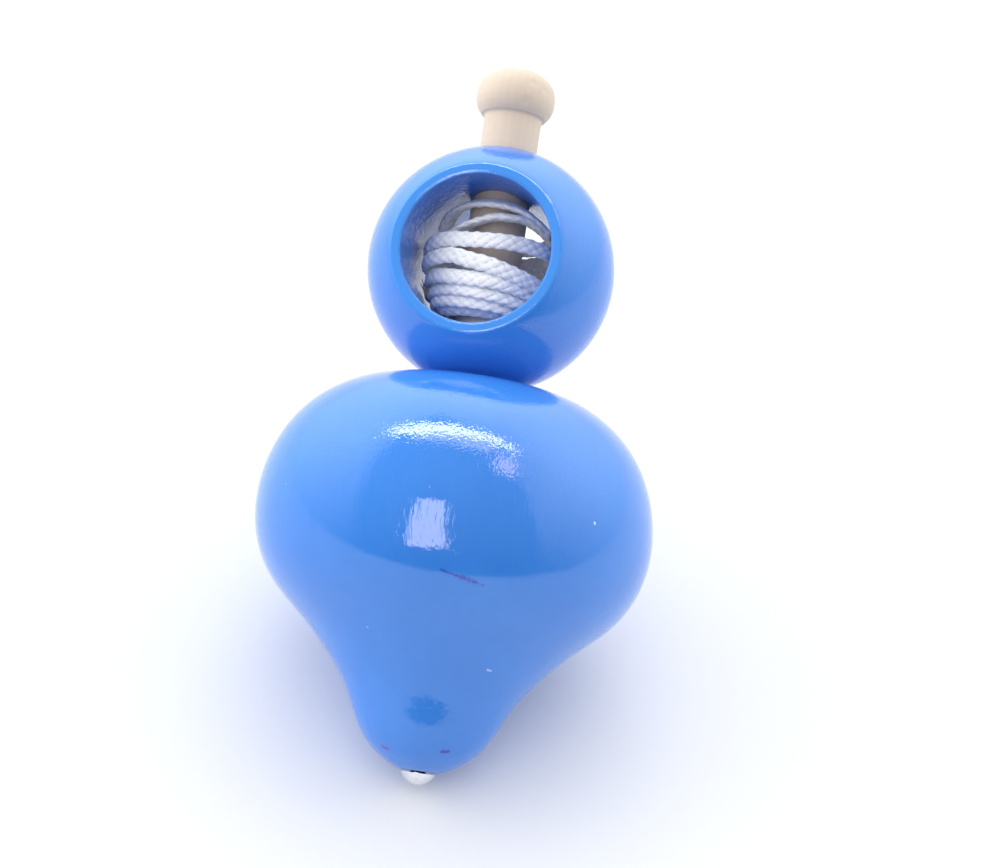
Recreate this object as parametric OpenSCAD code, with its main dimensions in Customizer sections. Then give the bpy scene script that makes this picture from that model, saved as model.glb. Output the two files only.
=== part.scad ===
// Pull-cord spinning top: a turned wooden body on a steel nail point, a glued
// axle peg with a finger knob, and a loose ball handle that turns and slides on
// the peg. The cord is wound on the peg inside the ball's window.
//
// Millimetres. +Z is the spin axis, pointing from the point to the knob.
// The origin is the lowest point of the nail's head, where the top spins.
// The ball's window is drilled along Y and the cord's hole along X.

/* [Body] */
// Radius of the flat faced on the nose around the nail
nose_flat_r = 2.9; // [2.7:0.1:3.2]
// Width of the cone between that flat and the nose curve
nose_cone_w = 1.43; // [1.2:0.05:1.8]
// Slope of the nose cone, from the horizontal
nose_slope = 25; // [20:1:30]
// Radius of the rounded nose
nose_curve_r = 10.65; // [9:0.05:12]
// Steepest slope of the waist above the nose
waist_slope = 65; // [60:1:70]
// Radius of the hollow waist curve
waist_curve_r = 38.65; // [34:0.05:42]
// Slope where the waist runs into the belly
belly_slope = 38; // [35:1:42]
// Radius of the belly curve below the widest point
belly_low_r = 18.05; // [16:0.05:20]
// Radius of the shoulder curve above the widest point
belly_high_r = 19.75; // [18:0.05:21]
// Depth of the peg's socket below the flat top
socket_depth = 23; // [14:1:30]

/* [Nail point] */
// Diameter of the nail's domed head
nail_head_d = 4.95; // [4.4:0.05:5.4]
// Height of the domed head
nail_head_h = 1.65; // [1.4:0.05:1.9]
// Gap left between the head and the nose
nail_gap = 0.2; // [0.1:0.05:0.4]
// Diameter of the nail's shank
nail_shank_d = 2; // [1.6:0.1:2.4]
// Length of the shank inside the wood, with its point
nail_shank_l = 15; // [10:1:18]

/* [Peg and knob] */
// Diameter of the peg's stem
stem_d = 8.2; // [8:0.1:8.6]
// Length of stem showing between the body's top and the knob's neck
stem_l = 39; // [38.8:0.1:41]
// Width of the hollow neck between the stem and the knob
neck_w = 0.4; // [0.2:0.05:0.5]
// Height of that neck
neck_h = 0.4; // [0.2:0.05:0.6]
// Widest diameter of the finger knob
knob_d = 11.3; // [11:0.05:13]
// Height of the knob's lower, undercut part
knob_low_h = 2.65; // [2.4:0.05:3.2]
// Height of the knob's domed upper part
knob_high_h = 4.3; // [4:0.1:5]
// Diameter of the cross hole that the cord is threaded through
cord_hole_d = 2.2; // [1.8:0.1:2.6]

/* [Ball handle] */
// Diameter of the ball
ball_d = 35; // [33:0.5:36]
// Diameter of the window drilled through the ball
window_d = 20.9; // [19.5:0.1:21.5]
// Outer diameter of the flat faced on the ball around each end of the window
window_face_d = 23.9; // [22.5:0.1:24.5]
// Radial play of the ball on the stem
ball_play = 0.1; // [0.05:0.01:0.1]
// Chamfer at both ends of the ball's stem bore
bore_chamfer = 0.5; // [0.3:0.05:0.7]
// Gap between the ball and the body's top at rest
ball_gap = 0.1; // [0.1:0.05:0.3]

/* [Wound cord] */
// Largest diameter of the winding
winding_d = 19.2; // [17:0.1:19.4]
// How far the winding reaches below the ball's centre
winding_low = 8; // [6:0.1:8.4]
// How far the winding reaches above the ball's centre
winding_high = 8.9; // [7:0.1:8.9]
// Play between the winding and the window's wall
winding_play = 0.35; // [0.3:0.05:0.6]

/* [Hidden] */
$fn = 96;

// Points of an arc that starts at p heading along h0 and turns to heading h1.
// A growing heading turns left, which is convex on this profile.
function turned(p, h0, h1, r, n) = let (s = h1 > h0 ? 1 : -1)
    [for (i = [1 : n]) let (h = h0 + (h1 - h0) * i / n)
        p + s * r * [sin(h) - sin(h0), cos(h0) - cos(h)]];
function last(v) = v[len(v) - 1];

nose_z = nail_head_h + nail_gap;
cone_end = [nose_flat_r + nose_cone_w, nose_z + nose_cone_w * tan(nose_slope)];
nose_pts = turned(cone_end, nose_slope, waist_slope, nose_curve_r, 12);
waist_pts = turned(last(nose_pts), waist_slope, belly_slope, waist_curve_r, 12);
belly_pts = turned(last(waist_pts), belly_slope, 90, belly_low_r, 16);
shoulder_pts = turned(last(belly_pts), 90, 180, belly_high_r, 26);
body_r = last(belly_pts)[0];
body_top = last(shoulder_pts)[1];

stem_r = stem_d / 2;
knob_r = knob_d / 2;
neck_z = body_top + stem_l;              // where the neck leaves the stem
knob_z = neck_z + neck_h;                // lower edge of the knob
neck_r = stem_r + neck_w;                // radius of that edge
knob_mid = knob_z + knob_low_h;          // widest level of the knob
knob_top = knob_mid + knob_high_h;
// Superellipse exponents of the knob's underside and of its dome
knob_low_n = 2.27;
knob_high_n = 2.38;
// Full height of the undercut's superellipse, of which the neck cuts the rest off
knob_low_full = knob_low_h / pow(1 - pow(neck_r / knob_r, knob_low_n), 1 / knob_low_n);

ball_r = ball_d / 2;
bore_r = stem_r + ball_play;
// The ball rests with its chamfered bore edge just above the body's flat top
ball_z = body_top + ball_gap + sqrt(ball_r * ball_r - pow(bore_r + bore_chamfer, 2));
window_r = window_d / 2;
face_y = sqrt(ball_r * ball_r - window_face_d * window_face_d / 4); // from the ball's centre to each flat

winding_r = winding_d / 2;
winding_reach = window_r - winding_play;

module body_profile() {
    polygon(concat([[0, nose_z], [nose_flat_r, nose_z], cone_end],
        nose_pts, waist_pts, belly_pts, shoulder_pts, [[0, body_top]]));
}

// Turned body with the peg's socket and the nail's hole
module top_body() {
    color([0.16, 0.45, 0.88])
    difference() {
        rotate_extrude() body_profile();
        translate([0, 0, body_top - socket_depth]) cylinder(d = stem_d, h = socket_depth + 1);
        translate([0, 0, nose_z - 1]) cylinder(d = nail_shank_d, h = nail_shank_l - 2 + 1);
        translate([0, 0, nose_z + nail_shank_l - 2])
            cylinder(d1 = nail_shank_d, d2 = 0, h = 2);
    }
}

// Half outline of the neck and the knob, from the stem's edge over the dome to the axis
function knob_outline() = concat(
    [[0, neck_z], [stem_r, neck_z]],
    [for (i = [1 : 4]) let (a = 22.5 * i)
        [neck_r - neck_w * cos(a), neck_z + neck_h * sin(a)]],
    [for (i = [1 : 10]) let (z = knob_low_h * (1 - i / 10),
            r = knob_r * pow(1 - pow(z / knob_low_full, knob_low_n), 1 / knob_low_n))
        [r, knob_mid - z]],
    [for (i = [1 : 17]) let (a = 90 * i / 18)
        [knob_r * pow(cos(a), 2 / knob_high_n), knob_mid + knob_high_h * pow(sin(a), 2 / knob_high_n)]],
    [[0, knob_top]]);

// One-piece turned peg: stem, finger knob and the cord's cross hole
module peg() {
    foot = body_top - socket_depth;
    color([0.93, 0.86, 0.76])
    difference() {
        union() {
            translate([0, 0, foot]) cylinder(r1 = stem_r - 0.8, r2 = stem_r, h = 0.8);
            translate([0, 0, foot + 0.8]) cylinder(r = stem_r, h = neck_z - foot - 0.8 + 0.01);
            rotate_extrude() polygon(knob_outline());
        }
        translate([-stem_r - 1, 0, ball_z - 4.5]) rotate([0, 90, 0])
            cylinder(d = cord_hole_d, h = 2 * stem_r + 2);
    }
}

// Round-headed steel nail; its head carries the top
module tip_nail() {
    head_r = nail_head_d / 2;
    cap_r = (head_r * head_r + nail_head_h * nail_head_h) / (2 * nail_head_h);
    color([0.78, 0.79, 0.8])
    union() {
        intersection() {
            translate([0, 0, cap_r]) sphere(r = cap_r);
            cylinder(r = head_r + 1, h = nail_head_h);
        }
        translate([0, 0, nail_head_h - 0.1])
            cylinder(d = nail_shank_d, h = nail_shank_l - 2 + nail_gap + 0.1);
        translate([0, 0, nose_z + nail_shank_l - 2]) cylinder(d1 = nail_shank_d, d2 = 0, h = 2);
    }
}

// Loose ball with the stem's bore and the cord's window, faced flat around both ends of the window
module ball_handle() {
    edge = sqrt(ball_r * ball_r - pow(bore_r + bore_chamfer, 2));
    color([0.16, 0.45, 0.88])
    translate([0, 0, ball_z])
    difference() {
        sphere(r = ball_r);
        translate([0, 0, -ball_r - 1]) cylinder(r = bore_r, h = ball_d + 2);
        for (s = [0, 1]) mirror([0, 0, s])
            translate([0, 0, edge - bore_chamfer])
                cylinder(r1 = bore_r, r2 = bore_r + 2 * bore_chamfer, h = 2 * bore_chamfer);
        rotate([90, 0, 0]) {
            translate([0, 0, -ball_r - 1]) cylinder(r = window_r, h = ball_d + 2);
            for (s = [0, 1]) mirror([0, 0, s])
                translate([0, 0, face_y]) cylinder(r = ball_r, h = ball_r);
        }
    }
}

// Outer shape of the wound cord, a barrel that turns freely inside the window
module cord_winding() {
    low = sqrt(pow(winding_reach, 2) - winding_r * winding_r);
    a0 = -asin(winding_low / winding_reach);
    a1 = -asin(low / winding_reach);
    b1 = asin(winding_high / winding_reach);
    color([0.9, 0.91, 0.95])
    translate([0, 0, ball_z])
    rotate_extrude() polygon(concat(
        [[bore_r, -winding_low]],
        [for (i = [0 : 6]) let (a = a0 + (a1 - a0) * i / 6) winding_reach * [cos(a), sin(a)]],
        [for (i = [0 : 6]) let (a = -a1 + (b1 + a1) * i / 6) winding_reach * [cos(a), sin(a)]],
        [[bore_r, winding_high]]));
}

top_body();
peg();
tip_nail();
ball_handle();
cord_winding();
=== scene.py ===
import math

import bpy
import numpy as np
from mathutils import Matrix, Vector


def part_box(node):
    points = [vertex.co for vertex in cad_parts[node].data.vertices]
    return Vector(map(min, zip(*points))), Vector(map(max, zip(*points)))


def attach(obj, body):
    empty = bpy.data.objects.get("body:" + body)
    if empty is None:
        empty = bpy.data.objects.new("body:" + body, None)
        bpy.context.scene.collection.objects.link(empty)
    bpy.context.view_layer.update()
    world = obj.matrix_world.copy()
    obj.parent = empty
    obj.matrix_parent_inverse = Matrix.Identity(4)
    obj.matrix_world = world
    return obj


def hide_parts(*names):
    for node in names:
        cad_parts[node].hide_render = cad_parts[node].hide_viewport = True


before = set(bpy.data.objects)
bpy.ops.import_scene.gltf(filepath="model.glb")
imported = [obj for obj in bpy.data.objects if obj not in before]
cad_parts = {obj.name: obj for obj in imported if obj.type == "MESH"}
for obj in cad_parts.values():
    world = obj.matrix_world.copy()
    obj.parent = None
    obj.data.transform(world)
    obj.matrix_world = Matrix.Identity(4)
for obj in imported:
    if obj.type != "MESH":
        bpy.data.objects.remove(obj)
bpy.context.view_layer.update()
MM = 0.001


# ---------------------------------------------------------------- camera
CAM_AT = Vector((0.062939, -0.300479, 0.002142))
CAM_RIGHT = Vector((0.97590953, 0.16731875, 0.14001792))
CAM_UP = Vector((-0.11025633, -0.17556709, 0.97827386))
CAM_FWD = Vector((-0.18826609, 0.97014465, 0.15288965))
cam_data = bpy.data.cameras.new("camera")
cam_data.sensor_fit = "HORIZONTAL"
cam_data.sensor_width = 36.0
cam_data.lens = 79.86
cam_data.clip_start = 0.01
cam_data.clip_end = 20.0
cam = bpy.data.objects.new("camera", cam_data)
cam.matrix_world = Matrix(
    (
        (CAM_RIGHT.x, CAM_UP.x, -CAM_FWD.x, CAM_AT.x),
        (CAM_RIGHT.y, CAM_UP.y, -CAM_FWD.y, CAM_AT.y),
        (CAM_RIGHT.z, CAM_UP.z, -CAM_FWD.z, CAM_AT.z),
        (0, 0, 0, 1),
    )
)
bpy.context.scene.collection.objects.link(cam)
bpy.context.scene.camera = cam


# ---------------------------------------------------------------- helpers
def value_noise(p, seed):
    """Smooth lattice noise in -1..1 at points p, an (n, 3) array, with a cell of 1."""
    rng = np.random.default_rng(seed)
    table = rng.uniform(-1, 1, 4096)
    i = np.floor(p).astype(np.int64)
    f = p - i
    f = f * f * f * (f * (f * 6 - 15) + 10)
    out = np.zeros(len(p))
    for dx in (0, 1):
        for dy in (0, 1):
            for dz in (0, 1):
                h = (
                    (i[:, 0] + dx) * 73856093
                    ^ (i[:, 1] + dy) * 19349663
                    ^ (i[:, 2] + dz) * 83492791
                ) & 4095
                w = (
                    (f[:, 0] if dx else 1 - f[:, 0])
                    * (f[:, 1] if dy else 1 - f[:, 1])
                    * (f[:, 2] if dz else 1 - f[:, 2])
                )
                out += w * table[h]
    return out


def spline(x, y, q):
    """Natural cubic spline through (x, y), read at q."""
    x, y, q = (np.asarray(v, float) for v in (x, y, q))
    n, h = len(x), np.diff(x)
    a, b = np.zeros((n, n)), np.zeros(n)
    a[0, 0] = a[-1, -1] = 1
    for i in range(1, n - 1):
        a[i, i - 1], a[i, i], a[i, i + 1] = h[i - 1], 2 * (h[i - 1] + h[i]), h[i]
        b[i] = 6 * ((y[i + 1] - y[i]) / h[i] - (y[i] - y[i - 1]) / h[i - 1])
    m = np.linalg.solve(a, b)
    k = np.clip(np.searchsorted(x, q) - 1, 0, n - 2)
    t, u = q - x[k], x[k + 1] - q
    return (
        (m[k] * u**3 + m[k + 1] * t**3) / (6 * h[k])
        + (y[k] / h[k] - m[k] * h[k] / 6) * u
        + (y[k + 1] / h[k] - m[k + 1] * h[k] / 6) * t
    )


def easy(x, y, q):
    """Smooth curve through (x, y) that never passes beyond its points."""
    x, y, q = (np.asarray(v, float) for v in (x, y, q))
    h = np.diff(x)
    d = np.diff(y) / h
    m = np.zeros(len(x))
    for i in range(1, len(x) - 1):
        if d[i - 1] * d[i] > 0:
            a, b = 2 * h[i] + h[i - 1], h[i] + 2 * h[i - 1]
            m[i] = (a + b) / (a / d[i - 1] + b / d[i])
    m[0], m[-1] = d[0], d[-1]
    k = np.clip(np.searchsorted(x, q) - 1, 0, len(x) - 2)
    t = (q - x[k]) / h[k]
    return (
        (1 + 2 * t) * (1 - t) ** 2 * y[k]
        + t * (1 - t) ** 2 * h[k] * m[k]
        + t * t * (3 - 2 * t) * y[k + 1]
        + t * t * (t - 1) * h[k] * m[k + 1]
    )


def new_object(name, verts, faces, smooth=True):
    mesh = bpy.data.meshes.new(name)
    mesh.from_pydata([tuple(v) for v in verts], [], [tuple(f) for f in faces])
    mesh.validate()
    if smooth:
        mesh.polygons.foreach_set("use_smooth", [True] * len(mesh.polygons))
    o = bpy.data.objects.new(name, mesh)
    bpy.context.scene.collection.objects.link(o)
    return o


def lathe(name, profile, segments, axis="Z", closed=False):
    """Surface of revolution of (radius, height) points; a radius of 0 is a pole."""
    verts, rows = [], []
    ang = np.linspace(0, 2 * math.pi, segments, endpoint=False)
    ca, sa = np.cos(ang), np.sin(ang)
    for r, h in profile:
        if r < 1e-9:
            rows.append([len(verts)])
            verts.append((0.0, 0.0, h))
        else:
            start = len(verts)
            rows.append(list(range(start, start + segments)))
            verts += list(zip(r * ca, r * sa, [h] * segments))
    faces = []
    pairs = list(zip(rows[:-1], rows[1:]))
    if closed:
        pairs.append((rows[-1], rows[0]))
    for a, b in pairs:
        for i in range(segments):
            j = (i + 1) % segments
            if len(a) == 1 and len(b) == 1:
                continue
            if len(a) == 1:
                faces.append((a[0], b[j], b[i]))
            elif len(b) == 1:
                faces.append((a[i], a[j], b[0]))
            else:
                faces.append((a[i], a[j], b[j], b[i]))
    v = np.array(verts)
    if axis == "Y":
        v = np.stack([v[:, 0], v[:, 2], -v[:, 1]], -1)
    elif axis == "X":
        v = np.stack([v[:, 2], v[:, 0], v[:, 1]], -1)
    return new_object(name, v, faces)


def outward(o):
    """Faces turned to the outside."""
    import bmesh

    bm = bmesh.new()
    bm.from_mesh(o.data)
    bmesh.ops.recalc_face_normals(bm, faces=bm.faces)
    bm.to_mesh(o.data)
    bm.free()


def cut(o, cutter):
    """o less cutter, which is then removed."""
    for x in (o, cutter):
        outward(x)
    mod = o.modifiers.new("cut", "BOOLEAN")
    mod.operation = "DIFFERENCE"
    mod.solver = "EXACT"
    mod.object = cutter
    dg = bpy.context.evaluated_depsgraph_get()
    mesh = bpy.data.meshes.new_from_object(o.evaluated_get(dg))
    o.modifiers.clear()
    o.data = mesh
    bpy.data.objects.remove(cutter)
    mesh.polygons.foreach_set("use_smooth", [True] * len(mesh.polygons))


def sharp(o, degrees):
    o.data.set_sharp_from_angle(angle=math.radians(degrees))


def coords(o):
    co = np.zeros(len(o.data.vertices) * 3)
    o.data.vertices.foreach_get("co", co)
    return co.reshape(-1, 3)


def normals(o):
    n = np.zeros(len(o.data.vertices) * 3)
    o.data.vertices.foreach_get("normal", n)
    return n.reshape(-1, 3)


def set_coords(o, co):
    o.data.vertices.foreach_set("co", co.ravel())
    o.data.update()


def arc(cx, cy, r, a0, a1, n):
    a = np.radians(np.linspace(a0, a1, n))
    return list(zip(cx + r * np.cos(a), cy + r * np.sin(a)))


def line(p, q, n):
    t = np.linspace(0, 1, n)[:, None]
    return [tuple(x) for x in (1 - t) * np.array(p) + t * np.array(q)]


# ---------------------------------------------------------------- sizes from the frame
ball_lo, ball_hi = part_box("ball_handle")
BALL_R = (ball_hi.x - ball_lo.x) / 2
BALL_Z = (ball_lo.z + ball_hi.z) / 2
body_lo, body_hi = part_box("top_body")
peg_lo, peg_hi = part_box("peg")
nail_lo, nail_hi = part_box("tip_nail")
wind_lo, wind_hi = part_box("cord_winding")
BODY_R = body_hi.x
STEM_R = 4.1 * MM
WINDOW_R = 10.45 * MM
BORE_R = 4.2 * MM
FACE_R = 11.95 * MM  # outer radius of the flat around each end of the window
ROOM = 10.33 * MM  # how far from the ball's centre the cord may reach, so that the ball can turn round it


# ---------------------------------------------------------------- the cord
# The cord's route on the peg: turn angle in degrees, from the front and on round to the right;
# distance from the axis; height above the ball's centre; twist of its flat side. In mm.
FRONT = 11.83
ROUTE = [
    (84, 4.95, -4.5, 0), (97, 5.0, -4.5, 0), (110, 5.0, -4.45, 0), (180, 5.0, -4.2, 0),
    (270, 5.0, -3.7, 0), (360, 5.0, -3.2, 0), (450, 5.0, -2.6, 0), (540, 5.0, -2.0, 0),
    (630, 5.0, -1.5, 0), (720, 5.0, -1.2, 0), (810, 5.2, -1.6, 0), (900, 6.1, -3.4, 0),
    (985, 6.6, -6.3, -20), (1020, 6.3, -7.0, -35), (1050, 5.9, -7.05, -35), (1080, 5.4, -7.05, -35),
    (1120, 5.2, -7.05, -35), (1170, 5.2, -7.0, -35), (1260, 5.9, -6.8, -20),
    (1350, 7.3, -6.0, 0), (1376, 7.2, -6.0, 10), (1402, 6.9, -6.15, 10), (1440, 6.5, -6.25, 10),
    (1474, 6.4, -6.4, 10), (1530, 6.5, -6.4, 10), (1620, 7.0, -5.7, 10),
    (1710, 7.8, -4.5, 12), (1727, 7.6, -4.45, 15), (1763, 7.4, -4.7, 15), (1800, 7.2, -5.0, 15),
    (1834, 7.2, -5.35, 15), (1890, 7.4, -5.3, 10), (1980, 7.8, -4.2, 5),
    (2070, 8.5, -2.7, 5), (2083, 8.4, -2.6, 8), (2111, 8.1, -2.95, 8), (2146, 7.8, -3.25, 8),
    (2189, 7.8, -3.6, 8), (2208, 7.9, -3.9, 8), (2250, 8.0, -4.1, 5),
    (2290, 7.5, -3.0, 10), (2340, 6.9, 0.3, 20), (2390, 6.9, 3.1, 40), (2421, 7.3, 4.7, 55),
    (2431, 6.9, 6.1, 60), (2443, 6.3, 7.2, 62), (2463, 5.6, 7.95, 62), (2489, 5.2, 8.28, 62),
    (2511, 5.15, 8.32, 62), (2534, 5.35, 8.2, 62), (2556, 6.0, 7.65, 62), (2568, 6.7, 6.9, 62),
    (2581, 7.5, 5.9, 62), (2610, 8.0, 5.1, 55), (2700, 7.5, 4.8, 55),
    (2789, 6.4, 4.0, 65), (2829, 6.4, 4.3, 75), (2842, 6.25, 4.95, 80), (2858, 6.0, 5.6, 82),
    (2880, 6.0, 6.15, 82), (2896, 6.1, 6.3, 82), (2917, 6.4, 6.4, 80), (2931, 6.9, 5.9, 70),
    (2946, 7.6, 5.2, 55), (2980, 8.4, 3.7, 35), (3060, 8.8, 2.5, 15),
    (3152, 9.3, 1.55, 0), (3176, 9.1, 2.05, 0), (3197, 8.8, 2.15, 0), (3218, 8.5, 2.05, 0),
    (3240, 8.4, 2.2, 0), (3260, 8.4, 2.35, 0), (3276, 8.6, 2.35, 0), (3293, 9.0, 2.3, 0),
    (3330, 9.2, 1.7, 0), (3420, 8.9, 0.5, 0),
    (3510, 9.3, -0.6, 0), (3529, 9.3, -0.55, 0), (3547, 9.0, -0.3, 0), (3564, 8.6, -0.35, 0),
    (3574, 8.45, -0.7, 0), (3594, 8.4, -1.2, 0), (3614, 8.4, -1.75, 0), (3637, 8.5, -2.35, 0),
    (3656, 8.7, -2.9, 0), (3690, 8.8, -3.4, 0), (3780, 8.8, -3.7, 0), (3850, 8.75, -4.25, -15),
    (3862, 8.7, -4.4, -15),
]  # fmt: skip
CORD_W, CORD_T = 1.08, 0.52  # half width and half thickness of the flattened braid, mm
STRANDS = 4  # yarns each way in the braid
LAY = 6.4  # mm of cord in which a yarn goes once round


def cord_line(step):
    """Route points in mm, with their two cross directions, every `step` mm of cord."""
    t = np.array(ROUTE, float)
    q = np.arange(t[0, 0], t[-1, 0] + 0.01, 1.0)
    rho, dz, tw = easy(t[:, 0], t[:, 1], q), spline(t[:, 0], t[:, 2], q), easy(t[:, 0], t[:, 3], q)
    # a hand-wound cord wanders a little
    rho = rho + 0.05 * value_noise(np.stack([q / 38.0, q * 0, q * 0], -1), 5)
    dz = dz + 0.06 * value_noise(np.stack([q / 31.0, q * 0 + 7, q * 0], -1), 6)
    a = np.radians(q + FRONT)
    p = np.stack([rho * np.sin(a), -rho * np.cos(a), dz + BALL_Z / MM], -1)
    s = np.concatenate([[0], np.cumsum(np.linalg.norm(np.diff(p, axis=0), axis=1))])
    n = int(s[-1] / step) + 1
    u = np.linspace(0, s[-1], n)
    p = np.stack([np.interp(u, s, p[:, k]) for k in range(3)], -1)
    # smooth out the corners that the linear reading leaves
    w = max(1, int(0.5 / step))
    kernel = np.hanning(2 * w + 3)
    kernel /= kernel.sum()
    pad = np.concatenate([2 * p[:1] - p[w + 1 : 0 : -1], p, 2 * p[-1:] - p[-2 : -w - 3 : -1]])
    p = np.stack([np.convolve(pad[:, k], kernel, "valid") for k in range(3)], -1)
    tw, a = np.interp(u, s, tw), np.interp(u, s, a)
    tan = np.gradient(p, axis=0)
    tan /= np.linalg.norm(tan, axis=1)[:, None]
    er = np.stack([np.sin(a), -np.cos(a), 0 * a], -1)
    nn = er - tan * (er * tan).sum(1)[:, None]
    nn /= np.linalg.norm(nn, axis=1)[:, None]
    bb = np.cross(tan, nn)
    c, d = np.cos(np.radians(tw))[:, None], np.sin(np.radians(tw))[:, None]
    return u, p, bb * c + nn * d, nn * c - bb * d, tan


def braid_height(turn, along):
    """Height, 0 to 1, of a braid of STRANDS yarns each way; turn is 0..1 round the cord."""
    a = STRANDS * (turn - along / LAY)
    b = STRANDS * (turn + along / LAY)
    ia, ib = np.round(a), np.round(b)
    ra = np.sqrt(np.clip(1 - ((a - ia) / 0.56) ** 2, 0, 1))
    rb = np.sqrt(np.clip(1 - ((b - ib) / 0.56) ** 2, 0, 1))
    ha = 0.42 * np.cos(math.pi * (b + ia)) + 0.75 * ra
    hb = -0.42 * np.cos(math.pi * (a + ib)) + 0.75 * rb
    groove = np.exp(-(((ha - hb) / 0.16) ** 2))  # where one yarn dives under the next
    return np.maximum(ha, hb) - 0.28 * groove, (ha > hb).astype(float), groove


def make_cord():
    around, step = 48, 0.16
    u, p, wide, thin, tan = cord_line(step)
    n = len(u)
    # cross-section: a soft lozenge-like oval, spaced evenly along its edge
    fine = np.linspace(0, 2 * math.pi, 2001)
    ex = 2 / 2.3
    cx = np.sign(np.cos(fine)) * np.abs(np.cos(fine)) ** ex
    cy = np.sign(np.sin(fine)) * np.abs(np.sin(fine)) ** ex
    edge = np.concatenate([[0], np.cumsum(np.hypot(np.diff(cx * CORD_W), np.diff(cy * CORD_T)))])
    at = np.interp(np.linspace(0, edge[-1], around, endpoint=False), edge, fine)
    ox = np.sign(np.cos(at)) * np.abs(np.cos(at)) ** ex
    oy = np.sign(np.sin(at)) * np.abs(np.sin(at)) ** ex
    turn = np.arange(around) / around
    # the braid is a little fuller here and thinner there
    swell = 1 + 0.05 * value_noise(np.stack([u / 6.0, u * 0, u * 0], -1), 9)
    tuck = np.clip(u / 1.2, 0.3, 1) ** 0.5  # narrows at the mouth of the stem's hole
    tip = np.clip((u[-1] - u) / 0.8, 0.35, 1) ** 0.5
    h, over, groove = braid_height(turn[None, :], u[:, None])
    lump = value_noise(np.stack([np.broadcast_to(u[:, None] / 0.7, h.shape).ravel(), np.broadcast_to(turn[None, :] * 8, h.shape).ravel(), np.zeros(h.size)], -1), 8)
    relief = 0.20 * (h - 0.80) + 0.035 * lump.reshape(h.shape)
    nrm = np.stack([ox / CORD_W, oy / CORD_T], -1)
    nrm /= np.linalg.norm(nrm, axis=1)[:, None]
    k = (swell * tuck * tip)[:, None]
    x = (ox * CORD_W)[None, :] * k + nrm[None, :, 0] * relief
    y = (oy * CORD_T)[None, :] * k + nrm[None, :, 1] * relief
    v = p[:, None, :] + x[..., None] * wide[:, None, :] + y[..., None] * thin[:, None, :]
    # keep clear of the stem and inside the room that the turning ball leaves
    c = np.array([0, 0, BALL_Z / MM])
    d = v - c
    far = np.linalg.norm(d, axis=2)
    lim = ROOM / MM
    soft = np.where(far > lim - 0.3, lim - 0.3 + 0.3 * np.tanh((far - lim + 0.3) / 0.3), far)
    v = c + d * (soft / far)[..., None]
    rr = np.hypot(v[..., 0], v[..., 1])
    near = np.where((rr < 4.17), 4.17 / np.maximum(rr, 1e-6), 1.0)
    v[..., 0] *= near
    v[..., 1] *= near
    verts = (v.reshape(-1, 3)) * MM
    i = np.arange(n - 1)[:, None] * around
    j = np.arange(around)[None, :]
    j2 = (j + 1) % around
    faces = np.stack([i + j, i + around + j, i + around + j2, i + j2], -1).reshape(-1, 4)
    centre = [p[0] * MM, p[-1] * MM]
    verts = np.concatenate([verts, centre])
    base = n * around
    cap = [(base, int(b), int(a)) for a, b in zip(range(around), np.roll(range(around), -1))]
    last = (n - 1) * around
    cap += [(base + 1, last + int(a), last + int(b)) for a, b in zip(range(around), np.roll(range(around), -1))]
    o = new_object("launch_cord", verts, [tuple(f) for f in faces.tolist()] + cap)
    outward(o)
    # what the material needs: place along and round the cord, and how deep in the braid
    uv = o.data.uv_layers.new(name="cord_uv")
    loops = np.zeros(len(o.data.loops), dtype=np.int64)
    o.data.loops.foreach_get("vertex_index", loops)
    row = np.minimum(loops // around, n - 1)
    col = loops % around
    uu, vv = turn[col] * 5.3, u[row]
    first = loops.reshape(-1) * 0
    coords_uv = np.stack([uu, vv], -1)
    # the seam: the last strip's far side reads 1 and not 0
    total = 0
    for poly in o.data.polygons:
        if poly.loop_total == 4:
            s = slice(poly.loop_start, poly.loop_start + 4)
            cols = col[s]
            if cols.max() == around - 1 and cols.min() == 0:
                coords_uv[s, 0] = np.where(cols == 0, 5.3, coords_uv[s, 0])
        total += 1
    uv.data.foreach_set("uv", coords_uv.ravel())
    deep = o.data.attributes.new("braid_depth", "FLOAT", "POINT")
    deep.data.foreach_set("value", np.concatenate([(1 - groove).ravel(), [0.5, 0.5]]))
    way = o.data.attributes.new("yarn_way", "FLOAT", "POINT")
    way.data.foreach_set("value", np.concatenate([over.ravel(), [0.0, 0.0]]))
    return o, p * MM, u[-1] * MM, tan[-1], wide[-1], thin[-1]


cord, cord_path, cord_length, end_dir, end_wide, end_thin = make_cord()


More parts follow.
